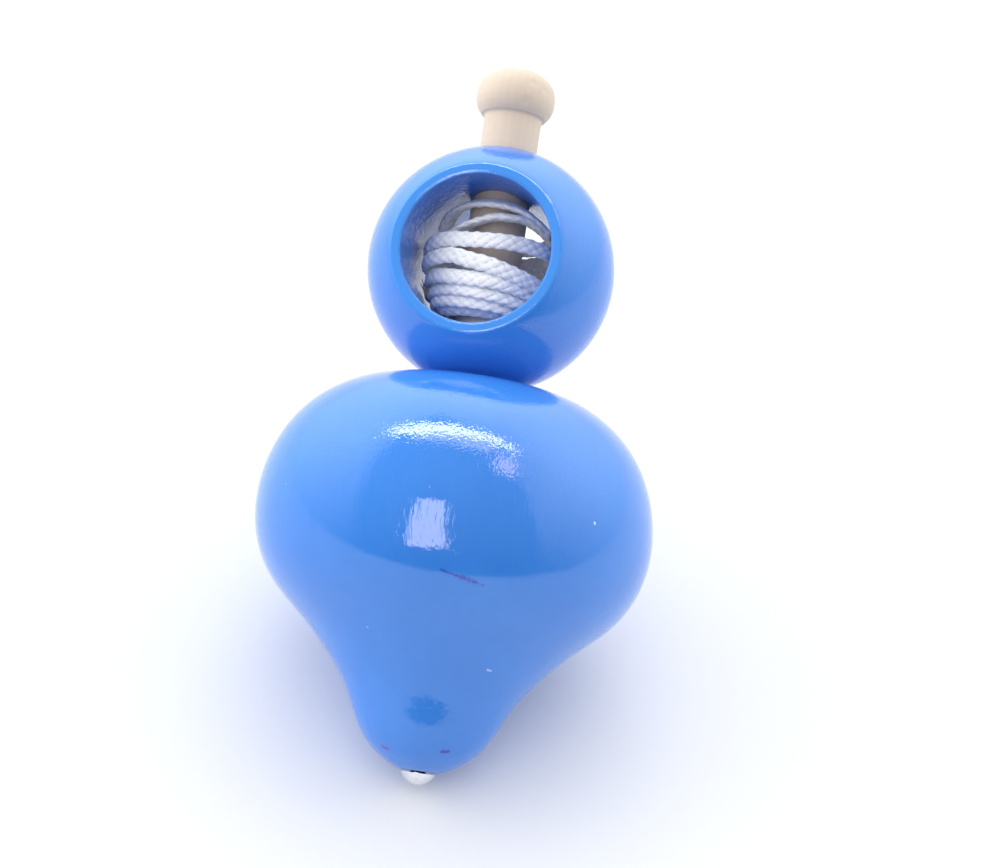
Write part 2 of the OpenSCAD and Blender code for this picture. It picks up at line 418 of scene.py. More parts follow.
def make_fray():
    """The cut end of the cord: its yarns spread and curl apart."""
    rng = np.random.default_rng(31)
    verts, faces = [], []
    start = cord_path[-1] / MM
    c = np.array([0, 0, BALL_Z / MM])
    sides = 6
    for k in range(22):
        across = rng.uniform(-0.8, 0.8)
        deep = rng.uniform(-0.35, 0.35)
        base = start + end_wide * across + end_thin * deep - end_dir * 0.9
        length = rng.uniform(1.2, 3.0)
        r0 = rng.uniform(0.075, 0.14)
        bend = end_wide * (across * 1.1 + rng.normal(0, 0.45)) + end_thin * rng.normal(0, 0.3)
        curl = np.array([0, 0, -1.0]) * rng.uniform(-0.6, 0.9)
        n = 9
        pts = []
        for i in range(n):
            t = i / (n - 1)
            q = base + end_dir * length * t + (bend * t**2 + curl * t**2 * 0.8) * length * 0.42
            q = q + 0.05 * np.array([math.sin(5 * t + k), math.cos(4 * t + 2 * k), math.sin(6 * t - k)])
            d = q - c
            far = np.linalg.norm(d)
            if far > ROOM / MM - 0.2:
                q = c + d * (ROOM / MM - 0.2) / far
            pts.append(q)
        pts = np.array(pts)
        tan = np.gradient(pts, axis=0)
        tan /= np.linalg.norm(tan, axis=1)[:, None]
        ref = np.array([0.3, 0.2, 1.0])
        a = np.cross(tan, ref)
        a /= np.linalg.norm(a, axis=1)[:, None]
        b = np.cross(tan, a)
        first = len(verts)
        for i in range(n):
            r = r0 * (1 - 0.55 * (i / (n - 1)) ** 2)
            for s in range(sides):
                g = 2 * math.pi * s / sides
                verts.append((pts[i] + r * (math.cos(g) * a[i] + math.sin(g) * b[i])) * MM)
        for i in range(n - 1):
            for s in range(sides):
                s2 = (s + 1) % sides
                faces.append((first + i * sides + s, first + i * sides + s2, first + (i + 1) * sides + s2, first + (i + 1) * sides + s))
        faces.append(tuple(first + s for s in range(sides))[::-1])
        faces.append(tuple(first + (n - 1) * sides + s for s in range(sides)))
    return new_object("cord_fray", verts, faces)


fray = make_fray()
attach(cord, "cord")
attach(fray, "cord")
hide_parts("cord_winding")


# ---------------------------------------------------------------- the turned body
# Slope of the outline in degrees at distances along it from the nose's flat, in mm
SLOPES = [
    (-1.1, 16), (0, 27.5), (2, 33.5), (4, 44.4), (6, 55.0), (8, 62.3), (10, 64.3), (12, 62.5),
    (14, 56.0), (17, 48.9), (20, 47.4), (23, 43.6), (26, 40.9), (29, 45.8), (32, 55.5), (35, 66.2),
    (39, 79.7), (43, 91.7), (47, 102.6), (51, 113.2), (55, 125.5), (59, 138.1), (63, 150.7),
    (67, 162.8), (70, 171.8), (72.9, 179.6),
]  # fmt: skip


def body_outline():
    t = np.array(SLOPES)
    s = np.arange(t[0, 0], t[-1, 0], 0.2)
    h = np.radians(spline(t[:, 0], t[:, 1], s))
    ds = 0.2
    r = 2.9 + np.concatenate([[0], np.cumsum((np.cos(h[1:]) + np.cos(h[:-1])) / 2 * ds)])
    z = np.concatenate([[0], np.cumsum((np.sin(h[1:]) + np.sin(h[:-1])) / 2 * ds)])
    lo, hi = body_lo.z / MM, body_hi.z / MM
    z = lo + z * (hi - lo) / z.max()
    r = 2.9 + (r - 2.9) * (BODY_R / MM - 2.9) / (r.max() - 2.9)
    return r, z


def make_body():
    r, z = body_outline()
    top = body_hi.z / MM
    floor = peg_lo.z / MM
    nail_top = nail_hi.z / MM
    lo = body_lo.z / MM
    prof = [(0, nail_top)] + line((0.02, nail_top), (1.0, nail_top - 2), 4) + line((1.0, nail_top - 2.2), (1.0, lo + 0.38), 20)
    # a shallow sink round the shank, which leaves a dark gap over the nail's head
    prof += [(1.05, lo + 0.33), (1.2, lo + 0.32)] + line((1.4, lo + 0.32), (2.3, lo + 0.30), 5)
    prof += arc(2.3, lo + 0.02, 0.28, 90, 15, 6) + [(2.66, lo)]
    keep = r > 3.0
    keep[np.argmax(r) :] = True
    prof += [(float(a), float(b)) for a, b in zip(r[keep], z[keep])]
    last = prof[-1]
    prof += line((last[0] - 0.25, top), (STEM_R / MM + 0.35, top), 14)
    prof += arc(STEM_R / MM + 0.22, top - 0.2, 0.2, 90, 180, 5)
    prof += line((STEM_R / MM + 0.02, top - 0.5), (STEM_R / MM + 0.02, floor), 16)
    prof += [(STEM_R / MM * 0.6, floor), (0, floor)]
    o = lathe("turned_body", [(a * MM, b * MM) for a, b in prof], 288)
    outward(o)
    co, n = coords(o), normals(o)
    rr = np.hypot(co[:, 0], co[:, 1])
    skin = ((rr > 5 * MM) | (co[:, 2] < 6 * MM) & (rr > 2.9 * MM)).astype(float)
    # sanded and lacquered by hand: never quite true
    wave = 0.035 * value_noise(co / (11 * MM), 11) + 0.012 * value_noise(co / (4.5 * MM), 12)
    ring = 0.0035 * value_noise(np.stack([co[:, 2] / (1.1 * MM), rr / (1.1 * MM), co[:, 0] * 0], -1), 13)
    co = co + n * ((wave + ring) * skin * MM)[:, None]
    set_coords(o, co)
    sharp(o, 40)
    return o


body = make_body()
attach(body, "top")
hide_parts("top_body")


# ---------------------------------------------------------------- the ball
def make_ball():
    R, w, g = BALL_R / MM, WINDOW_R / MM, FACE_R / MM
    flat = math.sqrt(R * R - g * g)
    # the faced ring: eased inner edge, flat, eased outer edge, then the sphere
    ease_in, ease_out = 0.48, 0.42
    xo, yo = g - 0.30, flat - ease_out
    out_angle = math.degrees(math.atan2(flat - 0.62, math.sqrt(R * R - (flat - 0.62) ** 2)))
    up = arc(w + ease_in, flat - ease_in, ease_in, 180, 90, 8)
    up += line((w + ease_in + 0.10, flat), (xo - 0.06, flat), 5)
    join = (R * math.cos(math.radians(out_angle)), R * math.sin(math.radians(out_angle)))
    corner = (g, flat)
    for i in range(0, 10):  # from the flat round its corner on to the sphere
        t = i / 9
        up.append(
            (
                (1 - t) ** 2 * xo + 2 * t * (1 - t) * corner[0] + t * t * join[0],
                (1 - t) ** 2 * flat + 2 * t * (1 - t) * corner[1] + t * t * join[1],
            )
        )
    prof = line((w, -flat + ease_in), (w, flat - ease_in), 56)[:-1]
    prof += up[:-1]
    prof += arc(0, 0, R, out_angle, -out_angle, 150)[:-1]
    prof += [(a, -b) for a, b in up[::-1]][:-1]
    o = lathe("handle_ball", [(a * MM, b * MM) for a, b in prof], 300, axis="Y", closed=True)
    co = coords(o)
    co[:, 2] += BALL_Z
    set_coords(o, co)
    # stem bore with softly rounded mouths
    b, q = BORE_R / MM, 0.5
    zc = math.sqrt((R - q) ** 2 - (b + q) ** 2)
    side = arc(b + q, zc, q, 180, 74, 9)
    cutter = [(0, 19), (5.2, 19), (side[-1][0] + 0.04, side[-1][1] + 0.4)] + side[::-1]
    cutter += line((b, zc - 0.5), (b, -zc + 0.5), 12)
    cutter += [(x, -y) for x, y in side] + [(side[-1][0] + 0.04, -side[-1][1] - 0.4), (5.2, -19), (0, -19)]
    tool = lathe("bore_tool", [(x * MM, y * MM) for x, y in cutter], 144)
    tc = coords(tool)
    tc[:, 2] += BALL_Z
    set_coords(tool, tc)
    cut(o, tool)
    co, n = coords(o), normals(o)
    d = co - np.array([0, 0, BALL_Z])
    far = np.linalg.norm(d, axis=1)
    skin = np.clip((far / MM - 15.5) / 1.5, 0, 1)
    wave = 0.03 * value_noise(co / (10 * MM), 21) + 0.008 * value_noise(co / (3.6 * MM), 22)
    set_coords(o, co + (d / far[:, None]) * (wave * skin * MM)[:, None])
    sharp(o, 38)
    return o


ball = make_ball()
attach(ball, "handle")
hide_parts("ball_handle")


# ---------------------------------------------------------------- peg and knob
def make_peg():
    s = STEM_R / MM
    foot, top = peg_lo.z / MM, peg_hi.z / MM
    kr, low, high, nw = 5.65, 2.65, 4.3, 0.4
    mid = top - high
    edge = mid - low  # the knob's lower edge, above a small hollow neck
    neck = edge - nw
    full = low / (1 - ((s + nw) / kr) ** 2.27) ** (1 / 2.27)
    prof = [(0, foot), (s - 0.8, foot), (s - 0.02, foot + 0.8)]
    prof += line((s, foot + 1.2), (s, neck - 0.25), 150)
    prof += [(s + 0.01, neck - 0.1)]
    for i in range(1, 8):
        a = math.radians(90 * i / 8)
        prof.append((s + nw - nw * math.cos(a), neck + nw * math.sin(a)))
    for i in range(0, 20):
        zz = low * (1 - i / 20) ** 1.15
        prof.append((kr * (1 - (zz / full) ** 2.27) ** (1 / 2.27), mid - zz))
    prof.append((kr, mid))
    for i in range(1, 44):
        a = math.radians(90 * i / 44)
        prof.append((kr * math.cos(a) ** (2 / 2.38), mid + high * math.sin(a) ** (2 / 2.38)))
    prof.append((0, top))
    o = lathe("axle_peg", [(a * MM, b * MM) for a, b in prof], 160)
    # cross hole for the cord, with eased mouths
    e = []
    e += [(0, -6), (1.9, -6), (1.9, -4.45)] + [(1.1, -3.8)] + line((1.1, -3.4), (1.1, 3.4), 4) + [(1.1, 3.8), (1.9, 4.45), (1.9, 6), (0, 6)]
    tool = lathe("hole_tool", [(a * MM, b * MM) for a, b in e], 40, axis="X")
    tc = coords(tool)
    tc[:, 2] += BALL_Z - 4.5 * MM
    set_coords(tool, tc)
    cut(o, tool)
    co, n = coords(o), normals(o)
    rr = np.hypot(co[:, 0], co[:, 1])
    # turning marks, raised grain, and a few dents in the knob
    ring = 0.012 * value_noise(np.stack([co[:, 2] / (0.55 * MM), rr / (0.55 * MM), rr * 0], -1), 41)
    grain = 0.009 * value_noise(co / np.array([0.5, 0.5, 7.0]) / MM, 42)
    wave = 0.05 * value_noise(co / (4.5 * MM), 43)
    up = np.clip((co[:, 2] / MM - 60) / 4, 0, 1)
    shape = (ring + grain) + wave * np.clip((co[:, 2] / MM - 92) / 3, 0, 1)
    for p, size, depth in KNOB_DENTS:
        d2 = ((co / MM - np.array(p)) ** 2).sum(1)
        shape -= depth * np.exp(-d2 / (2 * size**2))
    co = co + n * (shape * up * MM)[:, None]
    set_coords(o, co)
    sharp(o, 40)
    return o


KNOB_DENTS = [
    ((2.3, -4.5, 96.4), 0.42, 0.20),
    ((3.0, -4.2, 99.2), 0.33, 0.22),
    ((4.4, -2.9, 98.7), 0.30, 0.20),
    ((-3.8, 3.6, 98.8), 0.50, 0.10),
    ((-1.0, 4.9, 96.9), 0.45, 0.12),
]
peg = make_peg()
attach(peg, "top")
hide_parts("peg")


# ---------------------------------------------------------------- nail
def make_nail():
    hr, hh = 2.475, 1.65
    cap = (hr * hr + hh * hh) / (2 * hh)
    a0 = math.degrees(math.asin((hr - 0.06) / cap))
    prof = [(0, 0.0)]
    for i in range(1, 22):
        a = math.radians(a0 * i / 21)
        prof.append((cap * math.sin(a), cap - cap * math.cos(a)))
    x, z = prof[-1]
    prof += [(hr - 0.01, z + 0.05), (hr, z + 0.11), (hr - 0.05, hh - 0.02), (hr - 0.14, hh)]
    prof += [(1.4, hh), (1.08, hh + 0.03), (0.99, hh + 0.12)]
    top = nail_hi.z / MM
    prof += line((0.985, hh + 0.4), (0.985, top - 2.05), 10)
    prof += [(0.55, top - 1.0), (0.0, top - 0.05)]
    o = lathe("steel_nail", [(a * MM, b * MM) for a, b in prof], 96)
    outward(o)
    co, n = coords(o), normals(o)
    low = np.clip(1.6 - co[:, 2] / MM, 0, 1)
    co = co + n * ((0.004 * value_noise(co / (0.9 * MM), 51)) * low * MM)[:, None]
    set_coords(o, co)
    sharp(o, 45)
    return o


nail = make_nail()
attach(nail, "top")
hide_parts("tip_nail")


# ---------------------------------------------------------------- materials
class Nodes:
    """A short way to write node trees."""

    def __init__(self, tree):
        self.t = tree
        tree.nodes.clear()

    def add(self, kind, ins=None, **props):
        n = self.t.nodes.new(kind)
        for k, v in props.items():
            setattr(n, k, v)
        for k, v in (ins or {}).items():
            s = n.inputs[k]
            if isinstance(v, bpy.types.NodeSocket):
                self.t.links.new(v, s)
            else:
                s.default_value = v
        return n

    def math(self, op, a, b=None, c=None, clamp=False):
        ins = {0: a}
        if b is not None:
            ins[1] = b
        if c is not None:
            ins[2] = c
        return self.add("ShaderNodeMath", ins, operation=op, use_clamp=clamp).outputs[0]

    def vec(self, op, a, b=None, scale=None):
        ins = {0: a}
        if b is not None:
            ins[1] = b
        if scale is not None:
            ins["Scale"] = scale
        n = self.add("ShaderNodeVectorMath", ins, operation=op)
        return n.outputs["Value" if op in ("DOT_PRODUCT", "LENGTH", "DISTANCE") else "Vector"]

    def mapping(self, v, scale=(1, 1, 1), at=(0, 0, 0), turn=(0, 0, 0)):
        return self.add("ShaderNodeMapping", {"Vector": v, "Scale": scale, "Location": at, "Rotation": turn}).outputs[0]

    def noise(self, v, scale, detail=2.0, rough=0.5, distort=0.0):
        return self.add(
            "ShaderNodeTexNoise",
            {"Vector": v, "Scale": scale, "Detail": detail, "Roughness": rough, "Distortion": distort},
        ).outputs[0]

    def ramp(self, f, stops):
        n = self.add("ShaderNodeValToRGB", {"Fac": f})
        e = n.color_ramp.elements
        while len(e) < len(stops):
            e.new(0.5)
        for x, (pos, col) in zip(e, stops):
            x.position = pos
            x.color = (*col, 1) if len(col) == 3 else col
        return n.outputs[0]

    def span(self, v, a, b, c=0.0, d=1.0, kind="SMOOTHSTEP"):
        return self.add(
            "ShaderNodeMapRange",
            {"Value": v, "From Min": a, "From Max": b, "To Min": c, "To Max": d},
            interpolation_type=kind,
        ).outputs[0]

    def mix(self, f, a, b, kind="MIX"):
        n = self.add("ShaderNodeMix", data_type="RGBA", blend_type=kind)
        for k, v in ((0, f), (6, a), (7, b)):
            if isinstance(v, bpy.types.NodeSocket):
                self.t.links.new(v, n.inputs[k])
            else:
                n.inputs[k].default_value = (*v, 1) if isinstance(v, tuple) and len(v) == 3 else v
        return n.outputs[2]

    def bump(self, height, distance, strength=1.0, normal=None):
        ins = {"Height": height, "Distance": distance, "Strength": strength}
        if normal is not None:
            ins["Normal"] = normal
        return self.add("ShaderNodeBump", ins).outputs[0]

    def out(self, shader):
        self.add("ShaderNodeOutputMaterial", {"Surface": shader})


def material(name):
    m = bpy.data.materials.new(name)
    m.use_nodes = True
    return m, Nodes(m.node_tree)


def object_coords(n):
    return n.add("ShaderNodeTexCoord").outputs["Object"]


BLUE = (0.047, 0.230, 0.72)
BLUE_B = (0.042, 0.212, 0.69)


def lacquer(name, marks=(), window=False, nose=False):
    m, n = material(name)
    p = object_coords(n)
    cloud = n.noise(n.mapping(p, (1, 1, 0.6)), 95, 3, 0.55)
    colour = n.mix(n.span(cloud, 0.32, 0.68), BLUE, BLUE_B)
    # wood fibres show faintly through the coat, along the grain
    fibre = n.noise(n.mapping(p, (1500, 1500, 110)), 1.0, 3, 0.6)
    colour = n.mix(n.span(fibre, 0.3, 0.75, 0.0, 0.14), colour, (0.036, 0.175, 0.62))
    # stray nibs of dust caught in the coat
    wander = n.add("ShaderNodeTexNoise", {"Vector": p, "Scale": 1900.0}).outputs["Color"]
    warp = n.vec("ADD", p, n.vec("SCALE", n.vec("SUBTRACT", wander, (0.5, 0.5, 0.5)), scale=0.0004))
    cells = n.add("ShaderNodeTexVoronoi", {"Vector": warp, "Scale": 210.0, "Randomness": 1.0}, feature="F1")
    pick = n.add("ShaderNodeSeparateColor", {0: cells.outputs["Color"]}).outputs[0]
    nib = n.math("MULTIPLY", n.span(cells.outputs["Distance"], 0.020, 0.045, 1.0, 0.0), n.math("GREATER_THAN", pick, 0.965))
    colour = n.mix(n.math("MULTIPLY", nib, 0.35), colour, (0.55, 0.66, 0.86))
    # marks named by place: rubbed ink and small chips, in the object's own frame
    for kind, a, b, size, strength, ink in marks:
        a, b = Vector(a) * MM, Vector(b) * MM
        if (b - a).length < 1e-9:
            dist = n.vec("DISTANCE", warp, tuple(a))
        else:
            ab = b - a
            t = n.math("DIVIDE", n.vec("DOT_PRODUCT", n.vec("SUBTRACT", warp, tuple(a)), tuple(ab)), ab.length_squared, clamp=True)
            near = n.vec("ADD", tuple(a), n.vec("SCALE", tuple(ab), scale=t))
            dist = n.vec("DISTANCE", warp, near)
        edge = n.span(dist, size * 0.35 * MM, size * MM, 1.0, 0.0)
        if kind == "smear":
            edge = n.math("MULTIPLY", edge, n.span(n.noise(p, 3200, 2, 0.6), 0.35, 0.65))
        colour = n.mix(n.math("MULTIPLY", edge, strength), colour, ink)
    # relief: raised grain under the coat, orange peel, fine ripple, nibs
    grain = n.noise(n.mapping(p, (2300, 2300, 170)), 1.0, 2.5, 0.6)
    pores = n.span(n.noise(n.mapping(p, (3400, 3400, 330)), 1.0, 1.0, 0.5), 0.28, 0.46, 0.0, 1.0)
    peel = n.noise(p, 560, 2, 0.5)
    ripple = n.noise(p, 1900, 1.5, 0.5)
    h = n.math("ADD", n.math("MULTIPLY", grain, 0.55), n.math("MULTIPLY", pores, 0.35))
    b1 = n.bump(h, 0.000016, 1.0)
    b2 = n.bump(peel, 0.000022, 1.0, b1)
    # the coat is pebbled on the shoulder, where it was sprayed dry
    xyz = n.add("ShaderNodeSeparateXYZ", {0: p})
    pebble = n.math("ADD", n.math("MULTIPLY", n.noise(p, 3400, 0.0, 0.5), n.span(xyz.outputs[2], 38.5 * MM, 41.5 * MM, 0.05, 0.74)), n.math("MULTIPLY", ripple, n.span(xyz.outputs[2], 38.5 * MM, 41.5 * MM, 0.25, 0.5)))
    b3 = n.bump(pebble, 0.000022, 1.0, b2)
    b4 = n.bump(nib, 0.00003, 0.6, b3)
    rough = n.span(n.noise(p, 260, 3, 0.6), 0.3, 0.75, 0.04, 0.09, "LINEAR")
    gloss = 0.5
    if window:
        # the drilled wall is end grain, so the coat has soaked in and dried dappled; its darker dappled colour is
        # painted shade inside the bore
        off = n.vec("MULTIPLY", n.vec("SUBTRACT", p, (0.0, 0.0, BALL_Z)), (1, 0, 1))
        wall = n.span(n.vec("LENGTH", off), 10.55 * MM, 10.75 * MM, 1.0, 0.0)
        dapple = n.noise(p, 1150, 3, 0.6)
        b4 = n.bump(n.math("MULTIPLY", dapple, wall), 0.00013, 1.0, b4)
        rough = n.math("ADD", rough, n.math("MULTIPLY", wall, n.span(dapple, 0.35, 0.65, 0.06, 0.18)))
        colour = n.mix(n.math("MULTIPLY", wall, n.span(dapple, 0.4, 0.7, 0.25, 0.6)), colour, (0.030, 0.135, 0.50))
        # painted light: the faced ring round the window is painted a lighter blue, to brighten it where the body below
        # shades it
        xyz_w = n.add("ShaderNodeSeparateXYZ", {0: p})
        ring = n.math("MULTIPLY", n.span(n.math("ABSOLUTE", xyz_w.outputs[1]), 12.45 * MM, 12.65 * MM), n.span(n.vec("LENGTH", off), 11.9 * MM, 12.1 * MM, 1.0, 0.0))
        colour = n.mix(n.math("MULTIPLY", ring, 0.65), colour, (0.062, 0.300, 0.82))
    if nose:
        # painted shade: the corner under the nail's head is painted dark navy and made dull, for the shaded gap there
        corner = n.math("MULTIPLY", n.span(n.vec("LENGTH", n.vec("MULTIPLY", p, (1, 1, 0))), 2.62 * MM, 2.86 * MM, 1.0, 0.0), n.span(xyz.outputs[2], 2.25 * MM, 2.5 * MM, 1.0, 0.0))
        colour = n.mix(corner, colour, (0.006, 0.010, 0.045))
        rough = n.math("ADD", rough, n.math("MULTIPLY", corner, 0.5))
        gloss = n.math("SUBTRACT", 0.5, n.math("MULTIPLY", corner, 0.5), clamp=True)
    bsdf = n.add(
        "ShaderNodeBsdfPrincipled",
        {"Base Color": colour, "Roughness": rough, "Normal": b4, "IOR": 1.60, "Coat Weight": 0.0, "Specular IOR Level": gloss},
    )
    n.out(bsdf.outputs[0])
    return m


PURPLE = (0.045, 0.040, 0.39)
DARK_INK = (0.03, 0.05, 0.40)
MARKS = [
    ("line", (4.2, -25.2, 27.35), (6.4, -24.35, 26.85), 0.26, 0.75, DARK_INK),
    ("line", (6.4, -24.35, 26.85), (7.4, -24.0, 26.75), 0.30, 0.55, PURPLE),
    ("smear", (7.0, -24.1, 26.8), (8.6, -23.4, 26.4), 0.55, 0.7, PURPLE),
    ("line", (7.2, -24.0, 26.75), (8.6, -23.4, 26.4), 0.22, 0.5, DARK_INK),
    ("line", (8.4, -23.5, 26.5), (9.8, -22.8, 26.15), 0.22, 0.6, PURPLE),
    ("line", (-4.15, -5.75, 4.45), (-3.4, -5.95, 4.15), 0.42, 0.75, (0.13, 0.035, 0.36)),
    ("line", (4.2, -6.25, 4.85), (4.85, -5.9, 4.95), 0.46, 0.9, (0.065, 0.03, 0.38)),
    ("spot", (22.0, -16.8, 36.6), (22.0, -16.8, 36.6), 0.30, 0.9, (0.7, 0.8, 0.95)),
    ("spot", (-6.0, -16.9, 19.3), (-6.0, -16.9, 19.3), 0.24, 0.8, (0.6, 0.72, 0.92)),
    ("spot", (-6.5, -25.5, 43.1), (-6.5, -25.5, 43.1), 0.22, 0.6, (0.55, 0.7, 0.92)),
    ("spot", (1.9, -27.5, 37.4), (1.9, -27.5, 37.4), 0.20, 0.22, (0.55, 0.7, 0.92)),
    ("line", (9.6, -11.3, 16.2), (10.1, -10.9, 16.2), 0.2, 0.5, (0.55, 0.7, 0.92)),
    ("spot", (7.5, -10.0, 12.9), (7.5, -10.0, 12.9), 0.2, 0.5, (0.55, 0.7, 0.92)),
    ("line", (-6.75, -6.9, 7.9), (-6.2, -7.0, 7.3), 0.26, 0.4, (0.04, 0.16, 0.42)),
]
mat_body = lacquer("body_lacquer", MARKS, nose=True)
mat_ball = lacquer("ball_lacquer", window=True)


def bare_wood(name):
    m, n = material(name)
    p = object_coords(n)
    # growth rings of a stick cut a little off the tree's axis
    ring_at = n.mapping(p, (1, 1, 0.05), (0.0031, 0.0052, 0.0), (0.05, 0.03, 0.0))
    wob = n.noise(n.mapping(p, (260, 260, 26)), 1.0, 2, 0.5)
    rad = n.vec("LENGTH", n.vec("MULTIPLY", ring_at, (1, 1, 0)))
    ring = n.math("SINE", n.math("ADD", n.math("MULTIPLY", rad, 5600.0), n.math("MULTIPLY", wob, 6.0)))
    ring = n.span(ring, -1.0, 1.0)
    fibre = n.noise(n.mapping(p, (2600, 2600, 120)), 1.0, 3, 0.62)
    patch = n.noise(n.mapping(p, (120, 120, 40)), 1.0, 2, 0.5)
    light, mid, dark = (0.685, 0.570, 0.465), (0.65, 0.53, 0.415), (0.56, 0.44, 0.32)
    colour = n.mix(n.span(patch, 0.3, 0.7), light, (0.675, 0.555, 0.44))
    colour = n.mix(n.math("MULTIPLY", ring, 0.28), colour, mid)
    colour = n.mix(n.span(fibre, 0.55, 0.78, 0.0, 0.13), colour, dark)
    flecks = n.noise(n.mapping(p, (5200, 5200, 520)), 1.0, 1.0, 0.5)
    colour = n.mix(n.span(flecks, 0.66, 0.76, 0.0, 0.22), colour, (0.50, 0.36, 0.22))
    h = n.math("ADD", n.math("MULTIPLY", fibre, 0.7), n.math("MULTIPLY", flecks, -0.4))
    b1 = n.bump(h, 0.000012, 0.6)
    b2 = n.bump(n.noise(n.mapping(p, (300, 300, 2600)), 1.0, 1.5, 0.5), 0.00002, 0.5, b1)
    rough = n.span(fibre, 0.3, 0.8, 0.5, 0.68, "LINEAR")
    bsdf = n.add("ShaderNodeBsdfPrincipled", {"Base Color": colour, "Roughness": rough, "Normal": b2, "IOR": 1.45})
    bsdf.inputs["Specular IOR Level"].default_value = 0.35
    n.out(bsdf.outputs[0])
    return m


def steel(name):
    m, n = material(name)
    p = object_coords(n)
    fine = n.noise(n.mapping(p, (1800, 9000, 1800), turn=(0.0, 0.0, 0.5)), 1.0, 2, 0.6)
    blot = n.noise(p, 1300, 3, 0.6)
    colour = n.mix(n.span(blot, 0.35, 0.7), (0.86, 0.87, 0.88), (0.81, 0.82, 0.84))
    rough = n.span(blot, 0.3, 0.8, 0.22, 0.32, "LINEAR")
    b1 = n.bump(fine, 0.000004, 0.6)
    b2 = n.bump(blot, 0.000003, 0.5, b1)
    bsdf = n.add("ShaderNodeBsdfPrincipled", {"Base Color": colour, "Roughness": rough, "Normal": b2, "Metallic": 1.0})
    n.out(bsdf.outputs[0])
    return m


def cord_material(name, braided):
    m, n = material(name)
    p = object_coords(n)
    if braided:
        depth = n.add("ShaderNodeAttribute", attribute_name="braid_depth").outputs["Fac"]
        way = n.add("ShaderNodeAttribute", attribute_name="yarn_way").outputs["Fac"]
        uv = n.add("ShaderNodeUVMap", uv_map="cord_uv").outputs[0]
        # filaments lie along each yarn, so they lean one way or the other
        one = n.noise(n.mapping(uv, (9.0, 1.3, 1), turn=(0, 0, -0.76)), 1.0, 2, 0.6)
        two = n.noise(n.mapping(uv, (9.0, 1.3, 1), turn=(0, 0, 0.76)), 1.0, 2, 0.6)
        fil = n.add("ShaderNodeMix", {0: way, 2: two, 3: one}, data_type="FLOAT").outputs[0]
        patchy = n.noise(p, 700, 3, 0.6)
        # painted shade: the braid's colour is darker and lilac in the grooves where one yarn dives under the next, with
        # random patchy tone over it
        shade = n.math("ADD", n.span(depth, 0.0, 0.9), n.span(patchy, 0.35, 0.7, -0.10, 0.35), clamp=True)
        colour = n.mix(shade, (0.55, 0.575, 0.73), (0.96, 0.965, 0.975))
        colour = n.mix(n.span(fil, 0.35, 0.7, 0.0, 0.30), colour, (0.74, 0.77, 0.90))
        soil = n.noise(p, 420, 3, 0.6)
        colour = n.mix(n.span(soil, 0.56, 0.72, 0.0, 0.35), colour, (0.70, 0.68, 0.66))
        b1 = n.bump(fil, 0.00006, 0.7)
    else:
        fil = n.noise(n.mapping(p, (3000, 3000, 900)), 1.0, 2, 0.6)
        colour = n.mix(n.span(n.noise(p, 900, 2, 0.5), 0.4, 0.62), (0.84, 0.84, 0.87), (0.66, 0.58, 0.42))
        b1 = n.bump(fil, 0.00003, 0.6)
    bsdf = n.add(
        "ShaderNodeBsdfPrincipled",
        {"Base Color": colour, "Roughness": n.span(fil, 0.3, 0.7, 0.26, 0.46, "LINEAR"), "Normal": b1, "Sheen Weight": 0.25, "Sheen Roughness": 0.4},
    )
    n.out(bsdf.outputs[0])
    return m


mat_wood = bare_wood("bare_wood")
mat_steel = steel("nail_steel")
mat_cord = cord_material("cord_braid", True)
mat_fray = cord_material("cord_yarns", False)
for o, m in ((body, mat_body), (ball, mat_ball), (peg, mat_wood), (nail, mat_steel), (cord, mat_cord), (fray, mat_fray)):
    o.data.materials.clear()
    o.data.materials.append(m)
# a replaced CAD node isn't shown, but it carries the same finish
for node, m in (("top_body", mat_body), ("ball_handle", mat_ball), ("peg", mat_wood), ("tip_nail", mat_steel), ("cord_winding", mat_fray)):
    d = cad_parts[node].data
    d.materials.clear()
    d.materials.append(m)


# ---------------------------------------------------------------- table, light and surroundings
# The top lies on a table, on its nose and its belly. The table is the plane that touches both on the
# side away from the camera; its own axes are TX to the right, TY away along it and TN up from it.
TOUCH_A, TOUCH_B = (8.11, 5.47), (23.63, 24.66)
slope = math.atan2(TOUCH_B[1] - TOUCH_A[1], TOUCH_B[0] - TOUCH_A[0])
away = Vector((-math.sin(math.radians(FRONT)), math.cos(math.radians(FRONT)), 0))
TY = (away * math.cos(slope) + Vector((0, 0, 1)) * math.sin(slope)).normalized()
TN = -(away * math.sin(slope) - Vector((0, 0, 1)) * math.cos(slope)).normalized()
TX = TY.cross(TN).normalized()
ON_TABLE = (away * TOUCH_A[0] + Vector((0, 0, TOUCH_A[1]))) * MM - TN * 0.00012


def on_table(x, y, n=0.0):
    """A point in metres, x to the right, y away and n up, from the middle of where the top lies."""
    mid = (away * 16.0 + Vector((0, 0, 15.0))) * MM
    base = mid - TN * (mid - ON_TABLE).dot(TN)
    return base + TX * x + TY * y + TN * n


def disc(name, radius, rings, segments):
    verts, faces = [tuple(on_table(0, 0))], []
    for k in range(1, rings + 1):
        r = radius * k / rings
        for s in range(segments):
            a = 2 * math.pi * s / segments
            verts.append(tuple(on_table(r * math.cos(a), r * math.sin(a))))
    for s in range(segments):
        faces.append((0, 1 + s, 1 + (s + 1) % segments))
    for k in range(rings - 1):
        for s in range(segments):
            a, b = 1 + k * segments + s, 1 + k * segments + (s + 1) % segments
            faces.append((a, a + segments, b + segments, b))
    return new_object(name, verts, faces)


